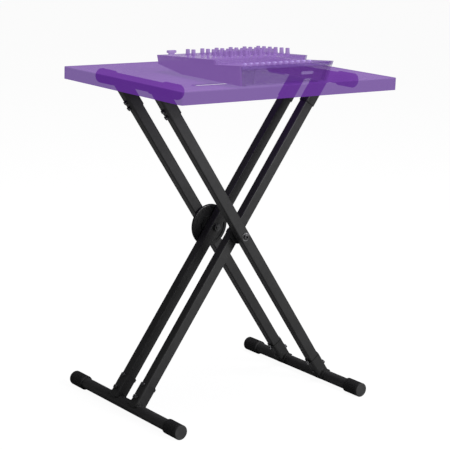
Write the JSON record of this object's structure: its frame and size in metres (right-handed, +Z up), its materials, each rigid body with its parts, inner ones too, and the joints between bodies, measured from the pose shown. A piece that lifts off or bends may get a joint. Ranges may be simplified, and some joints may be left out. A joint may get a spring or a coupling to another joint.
{
  "type": "folding equipment stand",
  "caption": "Folding double-braced X stand with round feet and arms, carrying a see-through table top and a wedge-shaped mixing console.",
  "frame": {"origin": "on the floor, under the middle of the whole object's box", "axes": "+Z up; the pivot and the foot bars lie along Y; the legs cross in the XZ plane; -Y is the near side, where the console's tall side is"},
  "size_m": [0.6746, 0.5454, 0.9286],
  "materials": {
    "frame_paint": "satin black powder coat",
    "socket_paint": "satin black powder coat",
    "disc_paint": "satin black",
    "cap_rubber": "matte black rubber",
    "fastener_steel": "black zinc plated steel",
    "washer_steel": "bright zinc plated steel",
    "spacer_plastic": "black moulded nylon",
    "table_acrylic": "see-through purple acrylic",
    "console_shell": "see-through purple plastic",
    "console_cheek": "see-through purple plastic",
    "console_deck": "see-through purple plastic",
    "console_panel": "see-through purple plastic",
    "plate_plastic": "pale lilac plastic",
    "socket_metal": "plated sockets",
    "knob_plastic": "purple moulded plastic"
  },
  "bodies": {
    "outer_frame": {"outer_leg_near": "frame_paint", "outer_leg_far": "frame_paint", "outer_foot_bar": "frame_paint", "outer_arm_bar": "frame_paint", "outer_foot_cap_near": "cap_rubber", "outer_foot_cap_far": "cap_rubber", "outer_arm_cap_near": "cap_rubber", "outer_arm_cap_far": "cap_rubber", "outer_foot_socket_near": "socket_paint", "outer_foot_socket_far": "socket_paint", "outer_arm_socket_near": "socket_paint", "outer_arm_socket_far": "socket_paint", "outer_foot_bolts": "fastener_steel", "outer_arm_bolts": "fastener_steel", "pivot_bolts": "fastener_steel", "pivot_nuts": "fastener_steel", "pivot_washers": "washer_steel", "lock_bush": "washer_steel"},
    "inner_frame": {"inner_leg_near": "frame_paint", "inner_leg_far": "frame_paint", "inner_foot_bar": "frame_paint", "inner_arm_bar": "frame_paint", "inner_foot_cap_near": "cap_rubber", "inner_foot_cap_far": "cap_rubber", "inner_arm_cap_near": "cap_rubber", "inner_arm_cap_far": "cap_rubber", "inner_foot_socket_near": "socket_paint", "inner_foot_socket_far": "socket_paint", "inner_arm_socket_near": "socket_paint", "inner_arm_socket_far": "socket_paint", "inner_foot_bolts": "fastener_steel", "inner_arm_bolts": "fastener_steel", "pivot_sleeves": "washer_steel", "hub_spacer": "spacer_plastic", "lock_disc": "disc_paint", "lock_disc_screws": "fastener_steel"},
    "lock_pull": {"lock_pin": "washer_steel", "lock_knob": "spacer_plastic", "lock_spring": "washer_steel"},
    "table": {"table_tray": "table_acrylic"},
    "console": {"console_tub": "console_shell", "console_cheek_left": "console_cheek", "console_cheek_right": "console_shell", "jack_deck": "console_deck", "control_deck": "console_deck", "connector_panel": "console_panel", "blank_plate": "plate_plastic", "jack_sockets": "socket_metal", "corner_block": "knob_plastic", "console_feet": "console_panel", "knob_bank": "knob_plastic"},
    "knob_1": {"knob_1": "knob_plastic"},
    "knob_2": {"knob_2": "knob_plastic"},
    "knob_3": {"knob_3": "knob_plastic"},
    "knob_4": {"knob_4": "knob_plastic"},
    "knob_5": {"knob_5": "knob_plastic"},
    "knob_6": {"knob_6": "knob_plastic"},
    "knob_7": {"knob_7": "knob_plastic"},
    "knob_8": {"knob_8": "knob_plastic"}
  },
  "joints": [
    {"name": "fold", "type": "hinge", "parent": "outer_frame", "child": "inner_frame", "pos_m": [0.0232, 0.02925, 0.44235], "axis": [0, -1, 0], "range_deg": [0, 64]},
    {"name": "table_lift", "type": "slide", "parent": "outer_frame", "child": "table", "axis": [0, 0, 1], "range_m": [0, 0.33]},
    {"name": "console_lift", "type": "slide", "parent": "table", "child": "console", "axis": [0, 0, 1], "range_m": [0, 0.12]},
    {"name": "lock_pull", "type": "slide", "parent": "outer_frame", "child": "lock_pull", "axis": [0, 1, 0], "range_m": [0, 0.008], "stiffness_N_per_m": 1500, "springref_m": -0.004},
    {"name": "knob_1_turn", "type": "hinge", "parent": "console", "child": "knob_1", "pos_m": [-0.0845, -0.11725, 0.91301], "axis": [0, 0.059, 0.9983], "range_deg": [-150, 150]},
    {"name": "knob_2_turn", "type": "hinge", "parent": "console", "child": "knob_2", "pos_m": [-0.0402, -0.11725, 0.91301], "axis": [0, 0.059, 0.9983], "range_deg": [-150, 150]},
    {"name": "knob_3_turn", "type": "hinge", "parent": "console", "child": "knob_3", "pos_m": [0.0041, -0.11725, 0.91301], "axis": [0, 0.059, 0.9983], "range_deg": [-150, 150]},
    {"name": "knob_4_turn", "type": "hinge", "parent": "console", "child": "knob_4", "pos_m": [0.0484, -0.11725, 0.91301], "axis": [0, 0.059, 0.9983], "range_deg": [-150, 150]},
    {"name": "knob_5_turn", "type": "hinge", "parent": "console", "child": "knob_5", "pos_m": [0.0927, -0.11725, 0.91301], "axis": [0, 0.059, 0.9983], "range_deg": [-150, 150]},
    {"name": "knob_6_turn", "type": "hinge", "parent": "console", "child": "knob_6", "pos_m": [-0.0845, -0.09395, 0.91164], "axis": [0, 0.059, 0.9983], "range_deg": [-150, 150]},
    {"name": "knob_7_turn", "type": "hinge", "parent": "console", "child": "knob_7", "pos_m": [-0.0402, -0.09395, 0.91164], "axis": [0, 0.059, 0.9983], "range_deg": [-150, 150]},
    {"name": "knob_8_turn", "type": "hinge", "parent": "console", "child": "knob_8", "pos_m": [0.0041, -0.09395, 0.91164], "axis": [0, 0.059, 0.9983], "range_deg": [-150, 150]}
  ],
  "couplings": [
    {"joint": "table_lift", "follows": "fold", "m_per_rad": 0.285}
  ]
}
